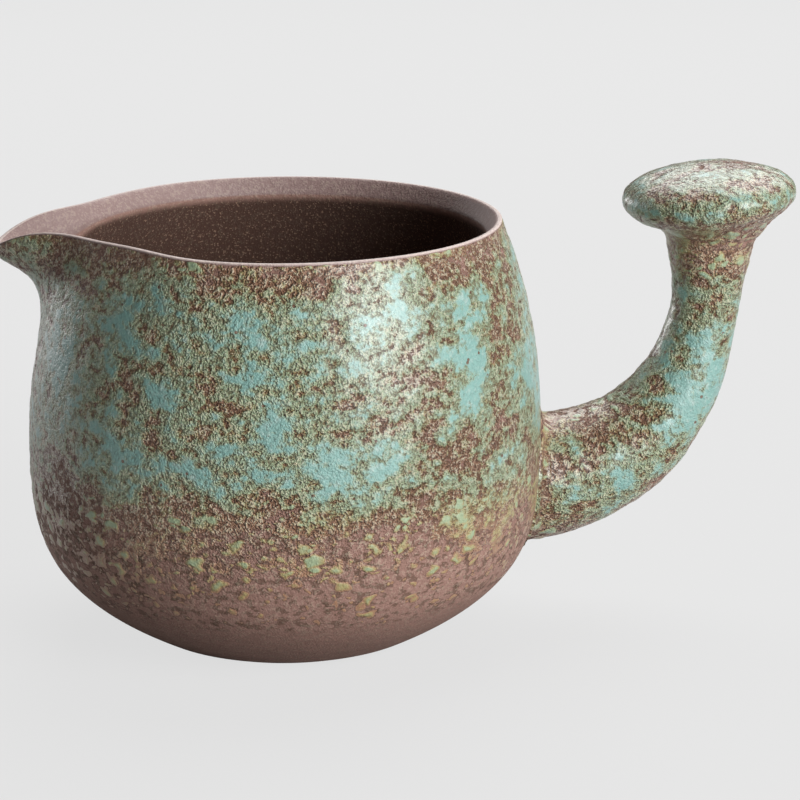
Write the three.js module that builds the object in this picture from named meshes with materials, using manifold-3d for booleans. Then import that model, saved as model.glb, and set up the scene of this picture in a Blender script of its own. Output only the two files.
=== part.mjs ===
// A side-handled tea pitcher in once-fired stoneware: a thrown round vessel with a pulled spout, a hollow
// stem that curves up beside it, and a mushroom knob that closes the stem. Soft clay, called slip, joins them.
// Millimetres, +Z up. The vessel's axis is Z, it stands on Z = 0, the spout points to -X, the handle to +X.
import * as THREE from 'three';
import { mergeVertices } from 'three/addons/utils/BufferGeometryUtils.js';
import Module from 'manifold-3d';

const wasm = await Module();
wasm.setup();

// The thrown vessel, outside: a low turned foot, a full belly and a wall that leans in to the rim.
const footRadius = 22.6;
const footHeight = 1.0;
const footBevel = 0.4;
const heelRadius = 24.8;
const heelAngle = 28.5;
const heelReach = 16.5;
const bellyRadius = 44.0;
const bellyHeight = 29.2;
const bellyFullBelow = 13.5;
const bellyFullAbove = 21.7;
const rimRadius = 37.2;
const rimHeight = 71.7;
const rimLean = 20.9;
const rimReach = 12.0;

// The vessel, inside: the wall, the floor, and a rim that is rounded on top and bevelled to the inside.
const wallThickness = 3.6;
const floorThickness = 5.0;
const rimRound = 0.9;
const bevelDepth = 2.3;
const lipThickness = 3.2;
const lipUndercut = 2.2;
const floorCorner = 7.2;

// The spout, pulled out of the rim: how far it is turned from -X, how far it reaches, how wide it is at the axis,
// how deep its throat runs down the wall and how far its tip hangs. Then the pinch on either side of it,
// and the shallow hollow in the wall below it.
const spoutTurn = 4.5;
const spoutReach = 12.0;
const spoutHalfAngle = 12.9;
const spoutSharpness = 1.95;
const throatDepth = 7.7;
const throatPower = 1.9;
const tipDrop = 4.0;
const tipDropAngle = 8.0;
const pinchInward = 1.6;
const pinchRise = 0.35;
const pinchAngle = 44.0;
const pinchWidth = 17.0;
const pinchDepth = 14.0;
const hollowInward = 0.7;
const hollowDepth = 18.0;
const hollowHeight = 9.0;
const hollowWidth = 40.0;

// The stem: its middle line starts inside the wall and ends at the neck. In between it bends in the X-Z plane,
// given as shares of the way out, the way up, and the taper from the root's radius to the waist's.
const rootInset = 6.0;
const rootHeight = 25.5;
const rootRadius = 11.9;
const waistRadius = 6.1;
const neckOut = 73.8;
const neckHeight = 65.4;
const neckRadius = 7.7;
const stemBends = [
  { out: 0, up: 0, taper: 0 },
  { out: 0.2, up: -0.023, taper: 0.12 },
  { out: 0.603, up: 0.105, taper: 0.43 },
  { out: 0.858, up: 0.363, taper: 0.776 },
  { out: 0.969, up: 0.652, taper: 1 },
  { out: 0.994, up: 0.827, taper: 0.948 },
];
const boreRootRadius = 6.2;
const boreNeckRadius = 3.2;

// The slip at both joints, and the gap that keeps neighbouring pieces apart.
const slipThickness = 1.0;
const rootSlipBulge = 0.5;
const neckSlipBulge = 0.2;
const jointGap = 0.3;

// The knob: a low dome over a cone that runs down into the neck, with a tenon in the stem's bore.
const knobRadius = 15.05;
const knobDome = 5.75;
const knobDomeFlat = 2.0;
const knobDomeEdge = 4.8;
const knobConeEdge = 3.0;
const knobDepth = 6.5;
const knobSeatRadius = 8.5;
const knobConeOut = 2.15;
const knobConeUp = 2.4;
const knobLean = 4.4;
const knobLeanDepth = 3.0;
const tenonLength = 6.0;

// How finely the round and curved shapes are divided.
const vesselStations = 88;
const stationCrowding = 0.55;
const lowerWallSteps = 8;
const upperWallSteps = 12;
const stemStations = 20;
const stemSides = 28;
const knobSides = 36;
const knobSteps = 7;
const rimSteps = 4;

const degrees = Math.PI / 180;

// A lathe of three.js turns about Y. This one turns about Z.
function latheAboutZ(profile, sides) {
  const geometry = new THREE.LatheGeometry(profile, sides);
  geometry.rotateX(Math.PI / 2);
  return geometry;
}

function moveVertices(geometry, move) {
  const position = geometry.getAttribute('position');
  const point = new THREE.Vector3();
  for (let i = 0; i < position.count; i += 1) {
    point.fromBufferAttribute(position, i);
    move(point);
    position.setXYZ(i, point.x, point.y, point.z);
  }
  return geometry;
}

// A closed geometry as a solid that can be cut. Faces that collapse at the axis are left out.
function toSolid(geometry) {
  geometry.deleteAttribute('normal');
  geometry.deleteAttribute('uv');
  const merged = mergeVertices(geometry, 1e-3);
  const corners = merged.index.array;
  const faces = [];
  for (let i = 0; i < corners.length; i += 3) {
    const [a, b, c] = corners.slice(i, i + 3);
    if (a !== b && b !== c && c !== a) faces.push(a, b, c);
  }
  return new wasm.Manifold(new wasm.Mesh({
    numProp: 3,
    vertProperties: new Float32Array(merged.getAttribute('position').array),
    triVerts: new Uint32Array(faces),
  }));
}

function fromSolid(solid) {
  const mesh = solid.getMesh();
  const geometry = new THREE.BufferGeometry();
  geometry.setAttribute('position', new THREE.BufferAttribute(new Float32Array(mesh.vertProperties), 3));
  geometry.setIndex(Array.from(mesh.triVerts));
  geometry.computeVertexNormals();
  return geometry;
}

function pieceOf(name, solid, material) {
  const mesh = new THREE.Mesh(fromSolid(solid), material);
  mesh.name = name;
  return mesh;
}

// Moves an open outline sideways, away from the axis for a positive distance.
function offsetOutline(points, distance) {
  return points.map((point, i) => {
    const before = points[Math.max(i - 1, 0)];
    const after = points[Math.min(i + 1, points.length - 1)];
    const along = after.clone().sub(before).normalize();
    return new THREE.Vector2(point.x + along.y * distance, point.y - along.x * distance);
  });
}

// The outside of the wall from the heel to the foot of the rounded rim: two curves that meet at the belly.
// Steps on the upper one grow closer towards the rim, where the spout bends the wall.
function wallOutline() {
  const wallTop = rimHeight - rimRound;
  const belly = new THREE.Vector2(bellyRadius, bellyHeight);
  const lower = new THREE.CubicBezierCurve(
    new THREE.Vector2(heelRadius, footHeight),
    new THREE.Vector2(
      heelRadius + heelReach * Math.cos(heelAngle * degrees),
      footHeight + heelReach * Math.sin(heelAngle * degrees),
    ),
    new THREE.Vector2(bellyRadius, bellyHeight - bellyFullBelow),
    belly,
  );
  const upper = new THREE.CubicBezierCurve(
    belly,
    new THREE.Vector2(bellyRadius, bellyHeight + bellyFullAbove),
    new THREE.Vector2(
      rimRadius + rimReach * Math.sin(rimLean * degrees),
      wallTop - rimReach * Math.cos(rimLean * degrees),
    ),
    new THREE.Vector2(rimRadius, wallTop),
  );
  const points = lower.getPoints(lowerWallSteps);
  for (let i = 1; i <= upperWallSteps; i += 1) {
    points.push(upper.getPoint(Math.sin((90 * degrees * i) / upperWallSteps)));
  }
  return points;
}

// The outside from the axis at the base, over the foot and up the wall.
function outsideOutline() {
  return [
    new THREE.Vector2(0, 0),
    new THREE.Vector2(footRadius - footBevel, 0),
    new THREE.Vector2(footRadius, footBevel),
    new THREE.Vector2(footRadius, footHeight),
    ...wallOutline(),
  ];
}

// The inside, over the rounded rim and its bevel, under the lip and down the wall to the axis at the floor.
function insideOutline() {
  const lipHeight = rimHeight - rimRound - bevelDepth;
  const rimTop = [];
  for (let i = 1; i < rimSteps; i += 1) {
    const turn = (180 * degrees * i) / rimSteps;
    rimTop.push(new THREE.Vector2(
      rimRadius - rimRound + rimRound * Math.cos(turn),
      rimHeight - rimRound + rimRound * Math.sin(turn),
    ));
  }
  const wall = offsetOutline(wallOutline(), -wallThickness).reverse();
  const belowLip = wall.filter(({ y }) => y < lipHeight - lipUndercut && y > floorThickness + rimRound);
  const floorEdge = belowLip[belowLip.length - 1].x - floorCorner;
  return [
    ...rimTop,
    new THREE.Vector2(rimRadius - lipThickness, lipHeight),
    ...belowLip,
    new THREE.Vector2(floorEdge, floorThickness),
    new THREE.Vector2(0, floorThickness),
  ];
}

// Draws an evenly divided lathe's stations together round the spout.
function crowdStations(point) {
  const radius = Math.hypot(point.x, point.y);
  const turn = Math.atan2(point.y, -point.x);
  const crowded = turn - stationCrowding * Math.sin(turn);
  point.x = -radius * Math.cos(crowded);
  point.y = radius * Math.sin(crowded);
}

// Pulls the spout out of the rim and pinches the rim in on either side of it.
function pullSpout(point) {
  const radius = Math.hypot(point.x, point.y);
  if (radius === 0) return;
  const turn = Math.atan2(point.y, -point.x) / degrees;
  const side = Math.abs(turn - spoutTurn);
  const below = Math.max(rimHeight - point.z, 0);
  const throat = Math.exp(-((below / throatDepth) ** throatPower));
  const beak = Math.exp(-((side / spoutHalfAngle) ** spoutSharpness));
  const drop = Math.exp(-((side / tipDropAngle) ** 2));
  const pinch = Math.exp(-(((side - pinchAngle) / pinchWidth) ** 2) - (below / pinchDepth) ** 2);
  const hollow = Math.exp(-((side / hollowWidth) ** 2) - ((below - hollowDepth) / hollowHeight) ** 2);
  const push = spoutReach * beak * throat - pinchInward * pinch - hollowInward * hollow;
  const scale = 1 + push / radius;
  point.x *= scale;
  point.y *= scale;
  point.z += pinchRise * pinch - tipDrop * drop * throat;
}

function turnVessel(outline) {
  const geometry = latheAboutZ(outline, vesselStations);
  moveVertices(geometry, crowdStations);
  moveVertices(geometry, pullSpout);
  return toSolid(geometry);
}

function makeVessel() {
  return turnVessel([...outsideOutline(), ...insideOutline()]);
}

// The vessel's wall as a full lump, grown outwards: what is joined to the wall is cut by it.
function vesselLump(growth) {
  const wall = offsetOutline(wallOutline(), growth);
  const bottom = new THREE.Vector2(0, wall[0].y);
  const top = new THREE.Vector2(0, wall[wall.length - 1].y);
  return turnVessel([bottom, ...wall, top]);
}

const rootOut = bellyRadius - rootInset;
const stemPath = stemBends.map(({ out, up, taper }) => ({
  x: THREE.MathUtils.lerp(rootOut, neckOut, out),
  z: THREE.MathUtils.lerp(rootHeight, neckHeight, up),
  radius: THREE.MathUtils.lerp(rootRadius, waistRadius, taper),
}));
stemPath.push({ x: neckOut, z: neckHeight, radius: neckRadius });

const stemLine = new THREE.CatmullRomCurve3(
  stemPath.map(({ x, z }) => new THREE.Vector3(x, 0, z)),
  false,
  'centripetal',
);
const stemRadii = new THREE.SplineCurve(stemPath.map(({ radius }, i) => new THREE.Vector2(i, radius)));

// Bends a straight piece, whose height runs from 0 to 1, along the stem's middle line.
function bendAlongStem(point) {
  const share = THREE.MathUtils.clamp(point.z, 0, 1);
  const centre = stemLine.getPoint(share);
  const along = stemLine.getTangent(share);
  const across = new THREE.Vector3(along.z, 0, -along.x);
  point.set(
    centre.x + point.x * across.x,
    point.y,
    centre.z + point.x * across.z,
  );
}

// A tube along the stem, with its outside grown by an amount and its tapered bore.
function stemTube(growth) {
  const outside = [];
  const inside = [];
  for (let i = 0; i <= stemStations; i += 1) {
    const share = i / stemStations;
    const bore = THREE.MathUtils.lerp(boreRootRadius, boreNeckRadius, share);
    outside.push(new THREE.Vector2(stemRadii.getPoint(share).y + growth, share));
    inside.unshift(new THREE.Vector2(bore, share));
  }
  const outline = [...outside, ...inside, outside[0].clone()];
  return toSolid(moveVertices(latheAboutZ(outline, stemSides), bendAlongStem));
}

function makeStem() {
  return stemTube(0).subtract(vesselLump(slipThickness + 2 * jointGap));
}

function makeRootSlip() {
  const coat = vesselLump(jointGap + slipThickness).subtract(vesselLump(jointGap));
  return stemTube(rootSlipBulge).intersect(coat);
}

// The neck's own frame: its origin on the stem's end, its Z along the stem. The slip and the knob stand in it.
function neckFrame() {
  const end = stemLine.getPoint(1);
  const along = stemLine.getTangent(1);
  const frame = new THREE.Group();
  frame.position.copy(end);
  frame.rotation.y = Math.atan2(along.x, along.z);
  return frame;
}

function makeNeckSlip() {
  const middleRadius = (neckRadius + knobSeatRadius) / 2 + neckSlipBulge;
  const outline = [
    new THREE.Vector2(boreNeckRadius, jointGap),
    new THREE.Vector2(neckRadius, jointGap),
    new THREE.Vector2(middleRadius, jointGap + slipThickness / 2),
    new THREE.Vector2(knobSeatRadius, jointGap + slipThickness),
    new THREE.Vector2(boreNeckRadius, jointGap + slipThickness),
    new THREE.Vector2(boreNeckRadius, jointGap),
  ];
  return toSolid(latheAboutZ(outline, stemSides));
}

const knobSeat = slipThickness + 2 * jointGap;

// Tips the knob over its neck: square to the stem at its seat, and a little above that leaning from the
// vertical towards the vessel.
function leanKnob(point) {
  const along = stemLine.getTangent(1);
  const fullLean = knobLean * degrees + Math.atan2(along.x, along.z);
  const lean = fullLean * THREE.MathUtils.smoothstep(point.z, knobSeat, knobSeat + knobLeanDepth);
  const height = point.z - knobSeat;
  const side = point.x;
  point.x = side * Math.cos(lean) - height * Math.sin(lean);
  point.z = knobSeat + side * Math.sin(lean) + height * Math.cos(lean);
}

function makeKnob() {
  const widest = knobSeat + knobDepth;
  const top = widest + knobDome;
  const cone = new THREE.CubicBezierCurve(
    new THREE.Vector2(knobSeatRadius, knobSeat),
    new THREE.Vector2(knobSeatRadius + knobConeOut, knobSeat + knobConeUp),
    new THREE.Vector2(knobRadius, widest - knobConeEdge),
    new THREE.Vector2(knobRadius, widest),
  );
  const dome = new THREE.CubicBezierCurve(
    new THREE.Vector2(knobRadius, widest),
    new THREE.Vector2(knobRadius, widest + knobDomeEdge),
    new THREE.Vector2(knobDomeFlat, top),
    new THREE.Vector2(0, top),
  );
  const tenonRadius = boreNeckRadius - jointGap;
  const outline = [
    new THREE.Vector2(0, knobSeat - tenonLength),
    new THREE.Vector2(tenonRadius, knobSeat - tenonLength),
    new THREE.Vector2(tenonRadius, knobSeat),
    ...cone.getPoints(knobSteps),
    ...dome.getPoints(knobSteps).slice(1),
  ];
  return toSolid(moveVertices(latheAboutZ(outline, knobSides), leanKnob));
}

const glaze = new THREE.MeshStandardMaterial({ color: 0x87866c, roughness: 0.6, metalness: 0 });
const slip = new THREE.MeshStandardMaterial({ color: 0x7d625f, roughness: 0.85, metalness: 0 });

const neck = neckFrame();
neck.add(
  pieceOf('neck_slip', makeNeckSlip(), slip),
  pieceOf('handle_knob', makeKnob(), glaze),
);

const pitcher = new THREE.Group();
pitcher.add(
  pieceOf('vessel', makeVessel(), glaze),
  pieceOf('root_slip', makeRootSlip(), slip),
  pieceOf('handle_stem', makeStem(), glaze),
  neck,
);
export default pitcher;
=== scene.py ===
import math

import bpy
import numpy as np
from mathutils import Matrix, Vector


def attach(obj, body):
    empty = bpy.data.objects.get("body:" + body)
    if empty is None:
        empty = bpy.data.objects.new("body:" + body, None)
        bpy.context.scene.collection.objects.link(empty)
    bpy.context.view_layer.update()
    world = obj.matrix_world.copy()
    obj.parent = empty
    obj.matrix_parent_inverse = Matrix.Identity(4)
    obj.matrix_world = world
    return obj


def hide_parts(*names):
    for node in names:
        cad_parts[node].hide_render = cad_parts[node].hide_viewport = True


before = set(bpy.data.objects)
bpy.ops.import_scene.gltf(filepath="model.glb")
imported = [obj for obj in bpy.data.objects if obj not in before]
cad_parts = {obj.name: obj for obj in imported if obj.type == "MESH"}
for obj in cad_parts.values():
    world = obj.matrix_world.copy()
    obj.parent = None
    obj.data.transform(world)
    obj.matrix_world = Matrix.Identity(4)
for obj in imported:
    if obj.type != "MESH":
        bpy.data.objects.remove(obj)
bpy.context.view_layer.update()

# The view. The pitcher is seen from its side and from a little above the rim, with a long lens, so that the
# handle stands to the right and turns a few degrees away.
VIEW_TURN = math.radians(-8.0)
VIEW_ABOVE = math.radians(15.19)
VIEW_DISTANCE = 0.500
VIEW_TARGET = Vector((0.01940, -0.00273, 0.03969))
LENS_MM = 131.25
SENSOR_MM = 36.0

view_line = Vector((
    math.sin(VIEW_TURN) * math.cos(VIEW_ABOVE),
    -math.cos(VIEW_TURN) * math.cos(VIEW_ABOVE),
    math.sin(VIEW_ABOVE),
))
camera = bpy.data.objects.new("camera", bpy.data.cameras.new("camera"))
bpy.context.scene.collection.objects.link(camera)
bpy.context.scene.camera = camera
camera.location = VIEW_TARGET + VIEW_DISTANCE * view_line
camera.rotation_euler = view_line.to_track_quat("Z", "Y").to_euler()
camera.data.lens = LENS_MM
camera.data.sensor_width = SENSOR_MM
camera.data.clip_start = 0.01
camera.data.clip_end = 20.0

# The vessel: one pot, thrown on the wheel in purple-brown stoneware, with a low turned foot. The rim was
# bevelled to the inside, and the spout pulled out of it with wet fingers. The glaze was sprayed on, thick
# round the shoulder and thin below, and it crawled into patches and drops in the one firing.
MM = 0.001
TINY = 1e-6
FOOT_RADIUS = 22.6
FOOT_HEIGHT = 1.0
FOOT_BEVEL = 0.4
HEEL_RADIUS = 24.8
HEEL_ANGLE = math.radians(28.5)
HEEL_REACH = 16.5
BELLY_RADIUS = 44.0
BELLY_HEIGHT = 29.2
BELLY_FULL_BELOW = 13.5
BELLY_FULL_ABOVE = 21.7
RIM_RADIUS = 37.2
RIM_HEIGHT = 71.7
RIM_LEAN = math.radians(20.9)
RIM_REACH = 12.0
RIM_ROUND = 0.9
WALL = 3.6
FLOOR_HEIGHT = 5.0
FLOOR_CORNER = 8.5
FLOOR_CURVE = 9.0
BEVEL_DEPTH = 2.3
LIP = 3.2
LIP_UNDERCUT = 2.2
SPOUT_TURN = 4.5
SPOUT_REACH = 12.0
SPOUT_HALF_ANGLE = 12.9
SPOUT_SHARPNESS = 1.95
THROAT_DEPTH = 7.7
THROAT_POWER = 1.9
TIP_DROP = 4.0
TIP_DROP_ANGLE = 8.0
PINCH_INWARD = 1.6
PINCH_RISE = 0.35
PINCH_ANGLE = 44.0
PINCH_WIDTH = 17.0
PINCH_DEPTH = 14.0
HOLLOW_INWARD = 0.7
HOLLOW_DEPTH = 18.0
HOLLOW_HEIGHT = 9.0
HOLLOW_WIDTH = 40.0
VESSEL_SIDES = 432
VESSEL_SPACING = 0.62
BASE_SPACING = 2.4
INSIDE_SPACING = 1.5
FOOT_SPACING = 0.3
BEVEL_SPACING = 0.4
RIM_TURN = 135
RIM_STEPS = 12
# Rows of the rim's rounded top: bare of glaze, and painted pale as a highlight.
RIM_WORN_SHEEN_FROM = 4
RIM_WORN_SHEEN_TO = 9
SOFTENINGS = 2
COVER = "glaze_cover"
TONE = "clay_tone"
SUNK = "relief_share"
COATS = (COVER, TONE, SUNK)
BARE = -2.0
# The dark tone: burnt clay darkened further with painted shade, inside the pot and in the bores.
DARK = -1.0
PLAIN = 0.0
WIPED = 1.0
# The rim's top tone: a painted highlight on the bare clay.
RIM_SHEEN = 2.0
COVER_BY_HEIGHT = [
    (4, BARE), (10, -1.3), (13, -0.55), (16, -0.30), (20, -0.15), (26, -0.01), (32, 0.17),
    (38, 0.38), (46, 0.50), (56, 0.49), (62, 0.44), (66, 0.37), (69, 0.26), (71.3, 0.10),
]
# The clay's tone darkens towards the foot: painted shade near the floor.
FOOT_SHADE_BY_HEIGHT = [(0, -0.42), (10, -0.32), (18, PLAIN)]
RELIEF_FROM_COVER = -0.5
RELIEF_FULL_COVER = 0.0
# Inside, below the bevel, the clay is burnt dark and painted with the shade under the lip, less so in the
# spout's throat.
BURNT_AND_SHADED_FROM = 69.6
BURNT_AND_SHADED_EASE = 2.2
BURNT_AND_SHADED_LOWER_IN_THROAT = 5.0
BURNT_AND_SHADED_SOFTER_IN_THROAT = 4.0


def bezier(start, first, second, end, steps=200):
    """Points on a cubic curve, as rows of x and z in millimetres."""
    share = np.linspace(0, 1, steps)[:, None]
    rest = 1 - share
    start, first, second, end = map(np.array, (start, first, second, end))
    return rest**3 * start + 3 * rest**2 * share * first + 3 * rest * share**2 * second + share**3 * end


def evenly(points, spacing):
    """The same line, divided into equal steps of about the spacing."""
    steps = np.hypot(*np.diff(points, axis=0).T)
    length = np.concatenate([[0], np.cumsum(steps)])
    marks = np.linspace(0, length[-1], max(int(round(length[-1] / spacing)), 1) + 1)
    return np.column_stack([np.interp(marks, length, points[:, k]) for k in (0, 1)])


def joined(*lines):
    """Lines that follow each other, without the doubled points between them."""
    return np.vstack([lines[0], *[line[1:] for line in lines[1:]]])


def read_off(table, at):
    """Reads values off a table of places and values, with straight lines between them."""
    return np.interp(at, *zip(*table))


def wall_line():
    """The outside of the wall, from the heel over the belly to just under the rim."""
    top = RIM_HEIGHT - RIM_ROUND
    lower = bezier(
        (HEEL_RADIUS, FOOT_HEIGHT),
        (HEEL_RADIUS + HEEL_REACH * math.cos(HEEL_ANGLE),
         FOOT_HEIGHT + HEEL_REACH * math.sin(HEEL_ANGLE)),
        (BELLY_RADIUS, BELLY_HEIGHT - BELLY_FULL_BELOW),
        (BELLY_RADIUS, BELLY_HEIGHT),
    )
    upper = bezier(
        (BELLY_RADIUS, BELLY_HEIGHT),
        (BELLY_RADIUS, BELLY_HEIGHT + BELLY_FULL_ABOVE),
        (RIM_RADIUS + RIM_REACH * math.sin(RIM_LEAN), top - RIM_REACH * math.cos(RIM_LEAN)),
        (RIM_RADIUS, top),
    )
    return joined(lower, upper)


def inner_line(wall):
    """The inside, from the rim's bevel over the lip, down the wall and into the floor."""
    lip_height = RIM_HEIGHT - RIM_ROUND - BEVEL_DEPTH
    slope = np.gradient(wall, axis=0)
    slope /= np.hypot(*slope.T)[:, None]
    inner = (wall + WALL * np.column_stack([-slope[:, 1], slope[:, 0]]))[::-1]
    inner = inner[(inner[:, 1] < lip_height - LIP_UNDERCUT) & (inner[:, 1] > FLOOR_CORNER)]
    lip = np.array([[RIM_RADIUS - LIP, lip_height]])
    corner = inner[-1]
    steep = inner[-1] - inner[-2]
    steep /= np.hypot(*steep)
    floor_edge = (corner[0] - FLOOR_CURVE, FLOOR_HEIGHT)
    curve = bezier(
        corner, corner + 0.5 * (corner[1] - FLOOR_HEIGHT) * steep / abs(steep[1]),
        (floor_edge[0] + 0.5 * FLOOR_CURVE, FLOOR_HEIGHT), floor_edge,
    )
    return joined(np.vstack([lip, inner]), curve), np.array([floor_edge, (0, FLOOR_HEIGHT)])


def vessel_outline():
    """The whole outline, from the middle of the base over the rim to the middle of the floor inside, and
    the row where the inside starts."""
    bevel = [(FOOT_RADIUS - FOOT_BEVEL, 0), (FOOT_RADIUS, FOOT_BEVEL)]
    foot = np.array([(FOOT_RADIUS, FOOT_BEVEL), (FOOT_RADIUS, FOOT_HEIGHT), (HEEL_RADIUS, FOOT_HEIGHT)])
    turns = np.radians(np.linspace(0, RIM_TURN, RIM_STEPS + 1))
    rim = np.column_stack([
        RIM_RADIUS - RIM_ROUND + RIM_ROUND * np.cos(turns),
        RIM_HEIGHT - RIM_ROUND + RIM_ROUND * np.sin(turns),
    ])
    wall = wall_line()
    inner, floor = inner_line(wall)
    outside = joined(
        evenly(np.array([(0, 0), bevel[0]]), BASE_SPACING),
        np.array(bevel),
        evenly(foot, FOOT_SPACING),
        evenly(wall, VESSEL_SPACING),
        rim,
    )
    bevelled = evenly(np.vstack([rim[-1:], inner[:1]]), BEVEL_SPACING)
    whole = joined(outside, bevelled, evenly(inner, INSIDE_SPACING), evenly(floor, BASE_SPACING))
    soft = whole.copy()
    first = len(outside) - len(rim)
    for _ in range(SOFTENINGS):
        soft[first:-1] = (soft[first - 1:-2] + 2 * soft[first:-1] + soft[first + 1:]) / 4
    return soft, len(outside)


def pulled(points):
    """Pulls the spout out of the rim and pinches the rim in on either side of it."""
    x, y, z = points.T
    radius = np.maximum(np.hypot(x, y), TINY)
    side = np.abs(np.degrees(np.arctan2(y, -x)) - SPOUT_TURN)
    below = np.maximum(RIM_HEIGHT - z, 0)
    throat = np.exp(-((below / THROAT_DEPTH) ** THROAT_POWER))
    beak = np.exp(-((side / SPOUT_HALF_ANGLE) ** SPOUT_SHARPNESS))
    drop = np.exp(-((side / TIP_DROP_ANGLE) ** 2))
    pinch = np.exp(-(((side - PINCH_ANGLE) / PINCH_WIDTH) ** 2) - (below / PINCH_DEPTH) ** 2)
    hollow = np.exp(-((side / HOLLOW_WIDTH) ** 2) - ((below - HOLLOW_DEPTH) / HOLLOW_HEIGHT) ** 2)
    scale = 1 + (SPOUT_REACH * beak * throat - PINCH_INWARD * pinch - HOLLOW_INWARD * hollow) / radius
    return np.column_stack([x * scale, y * scale, z + PINCH_RISE * pinch - TIP_DROP * drop * throat])


def skinned(name, rings, coats, tube=False):
    """A closed mesh over rings of points in millimetres. Each ring's coat holds the glaze's cover, the
    clay's tone and the share of the glaze's relief. A tube's last ring meets its first one again. Otherwise
    the first and the last ring shrink to one point each."""
    sides = len(rings[0])
    rows = len(rings)
    points = np.vstack(rings)
    coats = np.vstack([
        np.column_stack([np.broadcast_to(value, sides) for value in coat]) for coat in coats
    ])
    around = np.arange(sides)
    after = (around + 1) % sides
    faces = []
    for row in range(rows if tube else rows - 1):
        low = row * sides
        high = (row + 1) % rows * sides
        if row == 0 and not tube:
            faces += np.column_stack([np.zeros(sides, int), high + after, high + around]).tolist()
        elif row == rows - 2 and not tube:
            faces += np.column_stack([low + around, low + after, np.full(sides, high)]).tolist()
        else:
            faces += np.column_stack([low + around, low + after, high + after, high + around]).tolist()
    if not tube:
        points = np.vstack([points[:1], points[sides:1 - sides]])
        coats = np.vstack([coats[:1], coats[sides:1 - sides]])
        faces = [[max(corner - sides + 1, 0) for corner in face] for face in faces]
    mesh = bpy.data.meshes.new(name)
    mesh.from_pydata((points * MM).tolist(), [], faces)
    mesh.polygons.foreach_set("use_smooth", [True] * len(mesh.polygons))
    for key, values in zip(COATS, coats.T):
        mesh.attributes.new(key, "FLOAT", "POINT").data.foreach_set("value", values.astype(np.float32))
    mesh.update()
    piece = bpy.data.objects.new(name, mesh)
    bpy.context.scene.collection.objects.link(piece)
    return piece


def vessel_coat(points, row):
    """The vessel's coat: sprayed thick round the shoulder and thin below, worn off the rim's edge, and none
    inside. The clay is painted with shade towards the foot, and with a highlight on the rim's rounded top.
    Inside it is wiped on the bevel, and burnt dark and painted with shade below it, but less in the spout's
    throat."""
    height = points[:, 2]
    rim_row = inside_row - RIM_STEPS
    if row < rim_row + RIM_WORN_SHEEN_FROM:
        cover = read_off(COVER_BY_HEIGHT, height)
        sunk = np.clip((cover - RELIEF_FROM_COVER) / (RELIEF_FULL_COVER - RELIEF_FROM_COVER), 0, 1)
        return cover, read_off(FOOT_SHADE_BY_HEIGHT, height), sunk
    if row < rim_row + RIM_WORN_SHEEN_TO:
        return BARE, RIM_SHEEN, 0.0
    side = np.abs(np.degrees(np.arctan2(points[:, 1], -points[:, 0])) - SPOUT_TURN)
    throat = np.exp(-((side / SPOUT_HALF_ANGLE) ** 2))
    below = BURNT_AND_SHADED_FROM - BURNT_AND_SHADED_LOWER_IN_THROAT * throat - height
    burnt_and_shaded = np.clip(below / (BURNT_AND_SHADED_EASE + BURNT_AND_SHADED_SOFTER_IN_THROAT * throat), 0, 1)
    return BARE, WIPED + (DARK - WIPED) * burnt_and_shaded, 0.0


outline, inside_row = vessel_outline()
turn = np.linspace(0, 2 * math.pi, VESSEL_SIDES, endpoint=False)
vessel_rings = []
vessel_coats = []
for row, (radius, height) in enumerate(outline):
    ring = np.column_stack([
        -radius * np.cos(turn), -radius * np.sin(turn), np.full(VESSEL_SIDES, height),
    ])
    vessel_coats.append(vessel_coat(ring, row))
    vessel_rings.append(pulled(ring) if radius > 0 else ring)
vessel = skinned("vessel_pot", vessel_rings, vessel_coats)


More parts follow.
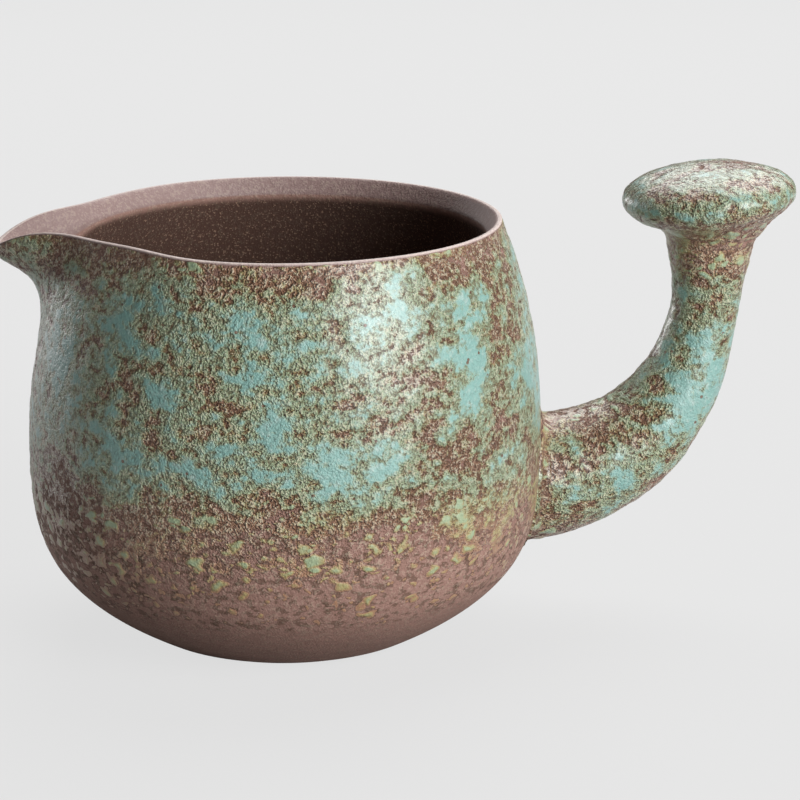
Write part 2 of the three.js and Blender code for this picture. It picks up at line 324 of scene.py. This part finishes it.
class Wire:
    """A value, colour or vector on its way through a node tree. Arithmetic on wires adds Math nodes."""

    def __init__(self, tree, socket=None):
        self.tree = tree
        self.socket = socket

    def node(self, kind, settings=None, sockets=None, output=None):
        """Adds a node with these settings, feeds its sockets by identifier or name, and gives an output."""
        node = self.tree.nodes.new(kind)
        for setting, value in (settings or {}).items():
            if setting == "stops":
                ramp = node.color_ramp
                while len(ramp.elements) < len(value):
                    ramp.elements.new(0.5)
                for stop, (place, colour) in zip(ramp.elements, value):
                    stop.position = place
                    stop.color = (*colour, 1)
            else:
                setattr(node, setting, value)
        for key, value in (sockets or {}).items():
            socket = next(s for s in node.inputs if key in (s.identifier, s.name))
            if isinstance(value, Wire):
                self.tree.links.new(value.socket, socket)
            else:
                socket.default_value = value
        if not node.outputs:
            return node
        found = next(s for s in node.outputs if output in (None, s.identifier))
        return Wire(self.tree, found)

    def math(self, operation, *values):
        """A Math node on these values."""
        sockets = dict(zip(("Value", "Value_001"), values))
        return self.node("ShaderNodeMath", {"operation": operation}, sockets)

    def __add__(self, other):
        return self.math("ADD", self, other)

    def __sub__(self, other):
        return self.math("SUBTRACT", self, other)

    def __rsub__(self, other):
        return self.math("SUBTRACT", other, self)

    def __mul__(self, other):
        return self.math("MULTIPLY", self, other)

    __radd__ = __add__
    __rmul__ = __mul__

    def most(self, other):
        """The larger of this value and the other one."""
        return self.math("MAXIMUM", self, other)

    def least(self, other):
        """The smaller of this value and the other one."""
        return self.math("MINIMUM", self, other)

    def step(self, low, high):
        """Rises smoothly from 0 to 1 between low and high."""
        sockets = {"Value": self, "From Min": low, "From Max": high}
        return self.node("ShaderNodeMapRange", {"interpolation_type": "SMOOTHSTEP"}, sockets)

    def noise(self, size_mm, detail=2.0, roughness=0.5):
        """Cloudy noise about 0, with lumps of that size, where this wire is the place."""
        scale = 1 / (size_mm * MM)
        sockets = {"Vector": self, "Scale": scale, "Detail": detail, "Roughness": roughness}
        return self.node("ShaderNodeTexNoise", {}, sockets) - 0.5

    def stretched(self, across, up):
        """This place, scaled, so that the next noise is drawn out: below 1 makes its lumps longer."""
        sockets = {"Vector": self, "Vector_001": (across, across, up)}
        return self.node("ShaderNodeVectorMath", {"operation": "MULTIPLY"}, sockets)

    def moved(self, metres):
        """This place, moved sideways, so that the next noise differs."""
        sockets = {"Vector": self, "Vector_001": (metres, metres, metres)}
        return self.node("ShaderNodeVectorMath", {"operation": "ADD"}, sockets)

    def bent(self, size_mm, reach_mm):
        """This place, pushed about in lumps of that size, so that round drops turn uneven. The noise mostly
        stays within a quarter on either side of its middle, which is the reach."""
        sockets = {"Vector": self, "Scale": 1 / (size_mm * MM), "Detail": 1.0}
        push = self.node("ShaderNodeTexNoise", {}, sockets, "Color")
        sockets = {"Vector": push, "Vector_001": (0.5, 0.5, 0.5)}
        centred = self.node("ShaderNodeVectorMath", {"operation": "SUBTRACT"}, sockets)
        sockets = {"Vector": centred, "Vector_001": (reach_mm * MM / 0.25,) * 3, "Vector_002": self}
        return self.node("ShaderNodeVectorMath", {"operation": "MULTIPLY_ADD"}, sockets)

    def drops(self, spacing_mm, peak, fall):
        """Scattered round domes: the peak in each one's middle, and falling off on every side."""
        sockets = {"Vector": self, "Scale": 1 / (spacing_mm * MM)}
        distance = self.node("ShaderNodeTexVoronoi", {}, sockets, "Distance")
        return peak - fall * distance * distance

    def cells(self, spacing_mm):
        """How far this place is from the edge of its cell: 0 in the cracks between the cells."""
        sockets = {"Vector": self, "Scale": 1 / (spacing_mm * MM)}
        return self.node("ShaderNodeTexVoronoi", {"feature": "DISTANCE_TO_EDGE"}, sockets, "Distance")

    def tint(self, other, share):
        """This colour, turned by the share into another wire's colour or a plain one."""
        colour = other if isinstance(other, Wire) else (*other, 1)
        sockets = {"Factor_Float": share, "A_Color": self, "B_Color": colour}
        return self.node("ShaderNodeMix", {"data_type": "RGBA"}, sockets, "Result_Color")


DRIFT_SIZE = 12.0
PATCH_SIZE = 3.4
CRUMB_SIZE = 1.0
THINNED_SIZE = 7.0
DROP_BEND_SIZE = 2.4
DROP_BEND = 0.9
LARGE_DROPS = (3.4, 0.63, 4.4)
SMALL_DROPS = (1.8, 0.46, 4.0)


def glaze_thickness(place, cover):
    """The coat as it crawled on the raw clay: drawn together into pools and drops, with rusty gaps between
    them. Where it was sprayed thick, its thinnest places still hold a rusty skin. The second wire is 1 on
    the drops."""
    dense = cover.step(0.08, 0.36)
    wide = place.stretched(0.82, 1.15)
    drift = 0.9 * place.noise(DRIFT_SIZE, 0.0)
    patches = drift + (1.25 + 0.5 * dense) * wide.noise(PATCH_SIZE, 2.0, 0.55)
    crumbs = 0.75 * place.noise(CRUMB_SIZE, 2.0, 0.6)
    crawled = cover + patches + crumbs
    thinned = 0.65 * cover.least(0.04) + 0.9 * place.moved(0.2).noise(THINNED_SIZE, 1.0)
    uneven = wide.bent(DROP_BEND_SIZE, DROP_BEND)
    large = uneven.drops(*LARGE_DROPS) + thinned
    small = uneven.moved(0.1).drops(*SMALL_DROPS) + thinned
    dropped = large.most(small) + 0.6 * crumbs - 0.5 * dense
    pooled = crawled.most(dropped)
    skin = 0.42 * (crawled + 2 * (cover - 0.12).least(0.0)).step(-0.14, -0.02) - 0.3
    return pooled.most(skin), dropped.step(0.15, 0.50)


CLAY = (0.275, 0.160, 0.131)
CLAY_DARK = (0.150, 0.079, 0.060)
CLAY_BURNT_AND_SHADED = (0.050, 0.024, 0.016)
CLAY_WIPED = (0.240, 0.166, 0.157)
CLAY_RIM_SHEEN = (0.48, 0.39, 0.36)
SAND = (0.36, 0.22, 0.15)
OUTLINE = (0.090, 0.050, 0.034)
RUST = (0.282, 0.148, 0.084)
OLIVE = (0.300, 0.240, 0.098)
SAGE = (0.255, 0.320, 0.190)
TURQUOISE = (0.168, 0.322, 0.290)
FROST = (0.44, 0.51, 0.47)
# Dark rusty brown for the pits and cracks, which also stands in for the shade in them.
PIT_AND_SHADE = (0.120, 0.054, 0.026)
# Pale cream for the raised grains, which also stands in for highlights on their tops.
GRAIN_AND_GLINT = (0.62, 0.55, 0.40)
GLAZE_BY_THICKNESS = [
    (0.02, OUTLINE), (0.06, RUST), (0.15, RUST), (0.25, OLIVE),
    (0.36, SAGE), (0.46, SAGE), (0.74, TURQUOISE),
]
GRAIN_SIZE = 0.34
PEBBLE_SIZE = 0.9
PEBBLE_BEND_SIZE = 1.0
PEBBLE_BEND = 0.3
LUMP_SIZE = 1.0
PINHOLES = (3.0, 1.0, 90.0)
FROST_SIZE = 1.4
MOTTLE_SIZE = 1.6
FLECK_SIZE = 1.1
TURNING_LINES = 0.55
WAVE_SIZE = 1.0
GLOSS_ROUGHNESS = 0.33


def stoneware():
    """Bare clay where the glaze is thin, then rust, olive, sage and turquoise as it grows thicker."""
    material = bpy.data.materials.new("glazed_stoneware")
    material.use_nodes = True
    tree = material.node_tree
    tree.nodes.clear()
    start = Wire(tree)
    place = start.node("ShaderNodeTexCoord", {}, {}, "Object")
    cover = start.node("ShaderNodeAttribute", {"attribute_name": COVER}, {}, "Fac")
    tone = start.node("ShaderNodeAttribute", {"attribute_name": TONE}, {}, "Fac")
    thick, on_drops = glaze_thickness(place, cover)
    glazed = thick.step(0.0, 0.06)
    green = thick.step(0.20, 0.42)
    smooth = on_drops.most(thick.step(0.44, 0.76))
    dusted = cover.step(-0.24, 0.28)
    full = cover.step(0.0, 0.3)

    # The crust: fine grains, lumps and cracked pebbles, least where the glaze ran smooth.
    fine = place.noise(GRAIN_SIZE, 1.0)
    pebbles = place.bent(PEBBLE_BEND_SIZE, PEBBLE_BEND).cells(PEBBLE_SIZE).step(0.0, 0.24)
    grit = 0.30 * pebbles - 0.17 + 2.0 * fine + 1.7 * place.noise(LUMP_SIZE, 1.0)
    crusty = (0.35 + 0.65 * glazed) * dusted * (1 - 0.42 * green) * (1 - 0.86 * smooth)
    # Darker clay: burnt and painted with shade inside the pot, and painted shade in the bores, towards the
    # foot and at the stem's root.
    burnt_and_shaded = (-1 * tone + 0.2 * grit).step(0.0, 0.9)
    rough = 0.16 * (1 - glazed) * (1 - 0.7 * burnt_and_shaded) + crusty
    # The crust's pits and cracks are painted dark: partly rusty crumbs, partly painted shade in the
    # hollows.
    pits_and_shade = (-1 * grit).step(0.02, 0.30) * rough
    # The crust's raised grains are painted pale: partly pale grains, partly painted highlights on their
    # tops.
    grains_and_glints = grit.step(0.04, 0.34) * rough
    pinholes = place.drops(*PINHOLES).step(0.0, 0.3) * green

    # The glaze: its colour follows its thickness, and drops on thin ground stay olive and sage.
    strength = thick * (0.43 + 0.57 * full) + 0.09 * (1 - full)
    glaze = start.node("ShaderNodeValToRGB", {"stops": GLAZE_BY_THICKNESS}, {"Fac": strength})
    frosted = smooth * green * full * place.noise(FROST_SIZE, 2.0, 0.6).step(0.0, 0.25)
    glaze = glaze.tint(FROST, 0.4 * frosted)

    # The clay: mottled, with faint turning lines, dark flecks and a dark line round each patch of glaze.
    turned = place.stretched(0.16, 1.0).noise(TURNING_LINES, 2.0)
    mottle = 0.8 + place.noise(MOTTLE_SIZE, 3.0, 0.7) + 0.9 * turned
    clay = start.node("ShaderNodeValToRGB", {"stops": [(0.0, CLAY_DARK), (1.0, CLAY)]}, {"Fac": mottle})
    flecks = place.stretched(0.7, 1.0).noise(FLECK_SIZE, 2.0, 0.6).step(0.03, 0.08) * cover.step(-1.3, -0.6)
    ring = thick.step(-0.15, -0.06) * (1 - thick.step(-0.02, 0.04))
    wiped = tone.step(0.05, 0.45)
    clay = clay.tint(OUTLINE, 0.7 * flecks * (1 - full) + ring * (0.64 - 0.3 * dusted))
    clay = clay.tint(CLAY_WIPED, 0.92 * wiped)
    # A painted highlight along the rim's rounded top, where the glaze is worn off.
    clay = clay.tint(CLAY_RIM_SHEEN, 0.9 * tone.step(WIPED, RIM_SHEEN))
    clay = clay.tint(CLAY_BURNT_AND_SHADED, 0.92 * burnt_and_shaded)

    colour = clay.tint(glaze, glazed)
    colour = colour.tint(PIT_AND_SHADE, 0.84 * pits_and_shade + 0.9 * pinholes)
    colour = colour.tint(GRAIN_AND_GLINT, 0.72 * grains_and_glints)
    colour = colour.tint(SAND, 0.6 * fine.step(0.10, 0.22) * burnt_and_shaded)
    height = 0.16 * thick.step(-0.05, 0.62) + (0.05 + 0.72 * crusty) * grit - 0.1 * pinholes
    height = height + 0.15 * smooth * place.noise(WAVE_SIZE, 2.0) + 0.03 * turned
    bump = start.node("ShaderNodeBump", {}, {"Strength": 1.0, "Distance": MM, "Height": height})
    shader = start.node("ShaderNodeBsdfPrincipled", {}, {
        "Base Color": colour,
        "Roughness": 0.80 - 0.34 * glazed - 0.25 * wiped + 0.2 * burnt_and_shaded,
        "Normal": bump,
        "Specular IOR Level": 0.4,
        "Coat Weight": 0.9 * glazed * (1 - 0.7 * pits_and_shade),
        "Coat Roughness": GLOSS_ROUGHNESS,
    }, "BSDF")
    start.node("ShaderNodeOutputMaterial", {}, {"Surface": shader})
    return material


RELIEF = 0.30
WAVINESS_SIZE = 1.5


def raised(piece):
    """Gives a piece its glaze's relief: full thickness at its outline, and lower where the coat is thin."""
    tree = bpy.data.node_groups.new("glaze_relief", "GeometryNodeTree")
    tree.interface.new_socket("Geometry", in_out="INPUT", socket_type="NodeSocketGeometry")
    tree.interface.new_socket("Geometry", in_out="OUTPUT", socket_type="NodeSocketGeometry")
    start = Wire(tree)
    place = start.node("GeometryNodeInputPosition")
    cover = start.node("GeometryNodeInputNamedAttribute", {"data_type": "FLOAT"}, {"Name": COVER})
    thick, _ = glaze_thickness(place, cover)
    relief = 0.6 * thick.step(-0.05, 0.62) + 0.8 * place.noise(WAVINESS_SIZE, 1.0)
    share = start.node("GeometryNodeInputNamedAttribute", {"data_type": "FLOAT"}, {"Name": SUNK})
    depth = share * (relief - 1) * (RELIEF * MM)
    normal = start.node("GeometryNodeInputNormal")
    sockets = {"Vector": normal, "Scale": depth}
    offset = start.node("ShaderNodeVectorMath", {"operation": "SCALE"}, sockets)
    moved = start.node("GeometryNodeSetPosition", {}, {
        "Geometry": start.node("NodeGroupInput"), "Offset": offset,
    })
    start.node("NodeGroupOutput", {}, {"Geometry": moved})
    piece.modifiers.new("glaze_relief", "NODES").node_group = tree
    flat = piece.data
    piece.data = bpy.data.meshes.new_from_object(piece.evaluated_get(bpy.context.evaluated_depsgraph_get()))
    piece.modifiers.clear()
    piece.data.name = flat.name
    bpy.data.meshes.remove(flat)


finish = stoneware()
vessel.data.materials.append(finish)
raised(vessel)
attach(vessel, "root")
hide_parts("vessel")

# The root slip: the ring of wet clay that lutes the stem to the wall. The maker smoothed it with a finger
# into a small hollow fillet, all the way round, and it was glazed thinly with the rest.
ROOT_INSET = 6.0
ROOT_HEIGHT = 25.5
ROOT_RADIUS = 11.9
WAIST_RADIUS = 6.1
NECK_OUT = 73.8
NECK_HEIGHT = 65.4
NECK_RADIUS = 7.7
STEM_BENDS = [
    (0, 0, 0), (0.2, -0.023, 0.12), (0.603, 0.105, 0.43),
    (0.858, 0.363, 0.776), (0.969, 0.652, 1), (0.994, 0.827, 0.948),
]
BORE_ROOT_RADIUS = 6.2
BORE_NECK_RADIUS = 3.2
FILLET = 1.9
SLIP_INSIDE_WALL = -0.8
SEAM = 0.0008
SEAM_EASE = 0.014
MEAN_RELIEF = 0.15
SLIP_OUTER = 1.45
CUT_INSET = 0.05
STEM_SIDES = 120
STEM_ROWS = 170
SLIP_ROWS = 10
SLIP_BORE_ROWS = 3
BORE_ROWS = 24
SIDE_COVER = [
    (0.12, 0.22), (0.18, 0.42), (0.28, 0.54), (0.46, 0.60), (0.80, 0.58), (0.90, 0.14), (1.0, 0.02),
]
LESS_AT_FINGERS = [(0.20, 0.44), (0.32, 0.46), (0.45, 0.36), (0.80, 0.32), (0.95, 0.0)]
LESS_BELOW = [(0.20, 0.36), (0.45, 0.34), (0.65, 0.0)]
# The stem's clay darkens towards its root: painted shade where it meets the pot's wall.
STEM_ROOT_SHADE = [(0.11, -0.45), (0.30, PLAIN)]


def hermite(start, end, leave, arrive, share):
    """A point on the curve between two points with these slopes."""
    return (start + leave * share + (3 * (end - start) - 2 * leave - arrive) * share**2
            + (2 * (start - end) + leave + arrive) * share**3)


def stem_centre(share):
    """The stem's middle line in the plane of x and z: one smooth curve through its bends."""
    points = [np.array([
        BELLY_RADIUS - ROOT_INSET + out * (NECK_OUT - BELLY_RADIUS + ROOT_INSET),
        ROOT_HEIGHT + up * (NECK_HEIGHT - ROOT_HEIGHT),
    ]) for out, up, _ in (*STEM_BENDS, (1, 1, 0))]
    points = [2 * points[0] - points[1], *points, 2 * points[-1] - points[-2]]
    place = min(max(share, 0), 1) * (len(points) - 3)
    first = min(int(place), len(points) - 4)
    a, b, c, d = points[first:first + 4]
    before, middle, after = (math.sqrt(np.linalg.norm(q - p)) for p, q in ((a, b), (b, c), (c, d)))
    leave = middle * ((b - a) / before - (c - a) / (before + middle) + (c - b) / middle)
    arrive = middle * ((c - b) / middle - (d - b) / (middle + after) + (d - c) / after)
    return hermite(b, c, leave, arrive, place - first)


def stem_along(share):
    """The stem's direction at that share of its length."""
    step = 1e-4
    along = stem_centre(min(share + step, 1)) - stem_centre(max(share - step, 0))
    return along / np.linalg.norm(along)


def stem_radius(share):
    """The stem's radius, which narrows to the waist and opens again to the neck."""
    radii = [ROOT_RADIUS + taper * (WAIST_RADIUS - ROOT_RADIUS) for _, _, taper in STEM_BENDS]
    radii.append(NECK_RADIUS)
    place = share * (len(radii) - 1)
    first = min(int(place), len(radii) - 2)
    a, b, c, d = (radii[min(max(first + k, 0), len(radii) - 1)] for k in (-1, 0, 1, 2))
    return hermite(b, c, (c - a) / 2, (d - b) / 2, place - first)


STEM_TABLE = np.linspace(0, 1, 401)
LOWER_HALF = 200
stem_centres = np.array([stem_centre(share) for share in STEM_TABLE])
stem_alongs = np.array([stem_along(share) for share in STEM_TABLE])
stem_radii = np.array([stem_radius(share) for share in STEM_TABLE])
outer_wall = wall_line()


def stem_points(shares, angles, radii):
    """Points round the stem. Angle 0 is on its outer bend, and half a turn on is the fingers' side."""
    centre = np.column_stack([np.interp(shares, STEM_TABLE, stem_centres[:, k]) for k in (0, 1)])
    along = np.column_stack([np.interp(shares, STEM_TABLE, stem_alongs[:, k]) for k in (0, 1)])
    side = radii * np.cos(angles)
    return np.column_stack([
        centre[:, 0] + side * along[:, 1], radii * np.sin(angles), centre[:, 1] - side * along[:, 0],
    ])


def from_wall(points):
    """How far points lie outside the vessel's wall."""
    height = points[:, 2]
    rise = np.maximum(np.gradient(outer_wall[:, 1]), TINY)
    slope = np.interp(height, outer_wall[:, 1], np.gradient(outer_wall[:, 0]) / rise)
    gap = np.hypot(points[:, 0], points[:, 1]) - np.interp(height, outer_wall[:, 1], outer_wall[:, 0])
    return gap / np.hypot(1, slope)


def stem_surface(shares, angles, grown=0.0):
    """Points on the stem's outside, with the fillet where it nears the wall."""
    radii = np.interp(shares, STEM_TABLE, stem_radii)
    near = np.clip(FILLET - from_wall(stem_points(shares, angles, radii)), 0, FILLET)
    return stem_points(shares, angles, radii + FILLET - np.sqrt(FILLET**2 - near**2) + grown)


def share_at(distance, angles, radii_table):
    """For each angle, the share of the stem's length where its surface is that far from the wall."""
    found = []
    for angle in angles:
        gaps = from_wall(stem_points(STEM_TABLE, np.full(len(STEM_TABLE), angle), radii_table))
        found.append(np.interp(distance, gaps[:LOWER_HALF], STEM_TABLE[:LOWER_HALF]))
    return np.array(found)


def stem_cover(shares, angles):
    """How thick the glaze lies on the stem: thick on its sides and its outer bend, and thin on the side of
    the fingers, under the root and towards the neck."""
    outward = np.cos(angles)
    at_fingers = read_off(LESS_AT_FINGERS, shares) * np.maximum(-outward, 0) ** 2
    below = read_off(LESS_BELOW, shares) * np.maximum(outward, 0) ** 2
    return read_off(SIDE_COVER, shares) - at_fingers - below


stem_angles = np.linspace(0, 2 * math.pi, STEM_SIDES, endpoint=False)
bore_radii = BORE_ROOT_RADIUS + (BORE_NECK_RADIUS - BORE_ROOT_RADIUS) * STEM_TABLE


def stem_piece(name, first, last, rows, bore_rows):
    """A hollow length of the stem between two rows of shares, one share for each angle. Towards its cut
    ends the relief gives way to its mean level, so that it meets the next piece without a step. The cut
    faces start just inside the outside's edge."""
    long = np.mean(last - first)
    levels = np.concatenate([[0, SEAM / long], np.linspace(0, 1, rows)[1:-1], [1 - SEAM / long, 1]])
    sunk = np.clip(np.minimum(levels, 1 - levels) * long / SEAM_EASE, 0, 1)
    rings = []
    coats = []
    for level, share in zip(levels, sunk):
        shares = first + (last - first) * level
        rings.append(stem_surface(shares, stem_angles, -MEAN_RELIEF * (1 - share)))
        coats.append((stem_cover(shares, stem_angles), read_off(STEM_ROOT_SHADE, shares), share))
    for level in (1, *np.linspace(1, 0, bore_rows), 0):
        shares = first + (last - first) * level
        radii = np.interp(shares, STEM_TABLE, bore_radii)
        rings.append(stem_points(shares, stem_angles, radii))
        coats.append((BARE, DARK, 0.0))
    for row, shares in ((len(levels), last), (len(rings) - 1, first)):
        rings[row] = stem_surface(shares, stem_angles, -MEAN_RELIEF - CUT_INSET)
    return skinned(name, rings, coats, tube=True)


slip_first = share_at(SLIP_INSIDE_WALL, stem_angles, stem_radii)
slip_last = share_at(SLIP_OUTER, stem_angles, stem_radii)
root_slip = stem_piece("stem_root_slip", slip_first, slip_last, SLIP_ROWS, SLIP_BORE_ROWS)
root_slip.data.materials.append(finish)
raised(root_slip)
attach(root_slip, "root")
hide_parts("root_slip")

# The stem: a hollow tapered tube of clay, rolled round a stick, bent while leathery and open at both ends.
# The same glaze lies on it, thick on its sides and thin where the fingers go and under the root.
stem = stem_piece("stem_tube", slip_last, np.ones(STEM_SIDES), STEM_ROWS, BORE_ROWS)
stem.data.materials.append(finish)
raised(stem)
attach(stem, "root")
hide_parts("handle_stem")

# The neck slip: the ring of wet clay between the stem's end and the knob. It was smoothed into a small
# flare, and holds hardly any glaze.
KNOB_SEAT = 1.6
KNOB_SEAT_RADIUS = 8.5
NECK_SLIP_LEAVE = 0.13
NECK_SLIP_ARRIVE = 0.42
NECK_SLIP_ROWS = 9
NECK_SLIP_COVER = 0.02
NECK_SIDES = 200


def at_neck(outline_points, sides, bend=None):
    """Turns an outline about the stem's end and sets it there, square to the stem."""
    along = stem_alongs[-1]
    angles = np.linspace(0, 2 * math.pi, sides, endpoint=False)
    rings = []
    for radius, height in outline_points:
        side = radius * np.cos(angles)
        level = np.full(sides, height)
        if bend:
            side, level = bend(side, level)
        rings.append(np.column_stack([
            NECK_OUT + side * along[1] + level * along[0],
            radius * np.sin(angles),
            NECK_HEIGHT - side * along[0] + level * along[1],
        ]))
    return rings


neck_outline = bezier(
    (NECK_RADIUS, 0), (NECK_RADIUS + NECK_SLIP_LEAVE, KNOB_SEAT / 3),
    (KNOB_SEAT_RADIUS - NECK_SLIP_ARRIVE, KNOB_SEAT * 2 / 3), (KNOB_SEAT_RADIUS, KNOB_SEAT), NECK_SLIP_ROWS,
) - (MEAN_RELIEF, 0)
neck_inside = [
    (neck_outline[-1][0] - CUT_INSET, KNOB_SEAT), (BORE_NECK_RADIUS, KNOB_SEAT),
    (BORE_NECK_RADIUS, 0), (neck_outline[0][0] - CUT_INSET, 0),
]
neck_rings = at_neck([*neck_outline, *neck_inside], NECK_SIDES)
neck_coats = [(NECK_SLIP_COVER, PLAIN, 0.0)] * len(neck_outline) + [(BARE, DARK, 0.0)] * len(neck_inside)
neck_slip = skinned("neck_slip_ring", neck_rings, neck_coats, tube=True)
neck_slip.data.materials.append(finish)
raised(neck_slip)
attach(neck_slip, "root")
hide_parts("neck_slip")

# The knob: a solid mushroom cap for the thumb, turned on the wheel from the same clay. A tenon on it plugs
# the stem's bore, and it is glazed all over.
KNOB_RADIUS = 15.05
KNOB_DOME = 5.75
KNOB_DOME_FLAT = 2.0
KNOB_DOME_EDGE = 4.8
KNOB_CONE_EDGE = 3.0
KNOB_DEPTH = 6.5
KNOB_CONE_OUT = 2.15
KNOB_CONE_UP = 2.4
KNOB_LEAN = math.radians(4.4)
KNOB_LEAN_DEPTH = 3.0
KNOB_RELIEF_EASE = 1.0
TENON_LENGTH = 6.0
TENON_GAP = 0.3
KNOB_SIDES = 240
KNOB_SPACING = 0.4


def leaned(side, level):
    """Tips the knob over its neck, towards the vessel, a little above its seat."""
    full = KNOB_LEAN + math.atan2(*stem_alongs[-1])
    ease = np.clip((level - KNOB_SEAT) / KNOB_LEAN_DEPTH, 0, 1)
    lean = full * ease * ease * (3 - 2 * ease)
    height = level - KNOB_SEAT
    return (side * np.cos(lean) - height * np.sin(lean),
            KNOB_SEAT + side * np.sin(lean) + height * np.cos(lean))


widest = KNOB_SEAT + KNOB_DEPTH
knob_top = widest + KNOB_DOME
cone = bezier(
    (KNOB_SEAT_RADIUS, KNOB_SEAT), (KNOB_SEAT_RADIUS + KNOB_CONE_OUT, KNOB_SEAT + KNOB_CONE_UP),
    (KNOB_RADIUS, widest - KNOB_CONE_EDGE), (KNOB_RADIUS, widest),
)
dome = bezier(
    (KNOB_RADIUS, widest), (KNOB_RADIUS, widest + KNOB_DOME_EDGE),
    (KNOB_DOME_FLAT, knob_top), (0, knob_top),
)
tenon_radius = BORE_NECK_RADIUS - TENON_GAP
tenon_end = KNOB_SEAT - TENON_LENGTH
tenon_outline = np.array([
    (0, tenon_end), (tenon_radius, tenon_end), (tenon_radius, KNOB_SEAT), (KNOB_SEAT_RADIUS, KNOB_SEAT),
])
knob_outline = joined(tenon_outline, evenly(joined(cone, dome), KNOB_SPACING))
knob_rings = at_neck(knob_outline, KNOB_SIDES, leaned)
knob_cover = [
    (KNOB_SEAT, 0.05), (KNOB_SEAT + 4, 0.22), (widest, 0.50), (widest + 2, 0.46), (knob_top, 0.30),
]
knob_coats = []
for row, (_, level) in enumerate(knob_outline):
    if row < len(tenon_outline) - 1:
        knob_coats.append((BARE, PLAIN, 0.0))
    else:
        sunk = np.clip((level - KNOB_SEAT) / KNOB_RELIEF_EASE, 0, 1)
        knob_coats.append((read_off(knob_cover, level), PLAIN, sunk))
knob = skinned("knob_cap", knob_rings, knob_coats)
knob.data.materials.append(finish)
raised(knob)
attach(knob, "root")
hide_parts("handle_knob")

# The floor: a plain pale sheet that runs far out on all sides of the pitcher. The camera sees it almost
# evenly lit, and the pitcher's soft shadow on it.
SHEET_REACH = 6
SHEET_COLOUR = (0.45, 0.45, 0.45)
SHEET_SEEN = (0.825, 0.825, 0.825)
SHEET_EVENNESS = 0.85
floor_mesh = bpy.data.meshes.new("floor")
corners = [(SHEET_REACH * x, SHEET_REACH * y, 0) for x, y in ((-1, -1), (1, -1), (1, 1), (-1, 1))]
floor_mesh.from_pydata(corners, [], [(0, 1, 2, 3)])
floor = bpy.data.objects.new("floor", floor_mesh)
bpy.context.scene.collection.objects.link(floor)
floor_material = bpy.data.materials.new("floor")
floor_material.use_nodes = True
floor_material.node_tree.nodes.clear()
start = Wire(floor_material.node_tree)
matt = start.node("ShaderNodeBsdfDiffuse", {}, {"Color": (*SHEET_COLOUR, 1)})
even = start.node("ShaderNodeEmission", {}, {"Color": (*SHEET_SEEN, 1), "Strength": 1.0})
seen = start.node("ShaderNodeLightPath", {}, {}, "Is Camera Ray")
paper = start.node("ShaderNodeMixShader", {}, {
    "Fac": seen * SHEET_EVENNESS, "Shader": matt, "Shader_001": even,
})
start.node("ShaderNodeOutputMaterial", {}, {"Surface": paper})
floor.data.materials.append(floor_material)

# The light: a pale room and three soft lamps. A wide one stands to the right of the camera and a little
# above it, a wider one hangs over the back of the pitcher, and a small one stands low behind the spout.
ROOM_LIGHT = 0.095
ROOM_SEEN = 0.85
LAMPS = [
    ("side_lamp", Vector((0.700, -0.834, 0.38)), 0.70, 19.8),
    ("top_lamp", Vector((0.30, 0.58, 0.86)), 1.10, 15.5),
    ("back_lamp", Vector((-0.55, 0.80, 0.14)), 0.24, 2.2),
]
world = bpy.data.worlds.new("room")
world.use_nodes = True
world.node_tree.nodes.clear()
start = Wire(world.node_tree)
seen = start.node("ShaderNodeLightPath", {}, {}, "Is Camera Ray")
room = start.node("ShaderNodeBackground", {}, {
    "Color": (1, 1, 1, 1), "Strength": ROOM_LIGHT + (ROOM_SEEN - ROOM_LIGHT) * seen,
})
start.node("ShaderNodeOutputWorld", {}, {"Surface": room})
bpy.context.scene.world = world
for name, position, width, power in LAMPS:
    lamp = bpy.data.objects.new(name, bpy.data.lights.new(name, "AREA"))
    lamp.data.energy = power
    lamp.data.size = width
    lamp.location = position
    lamp.rotation_euler = (position - VIEW_TARGET).to_track_quat("Z", "Y").to_euler()
    bpy.context.scene.collection.objects.link(lamp)

bpy.context.scene.view_settings.view_transform = "Standard"
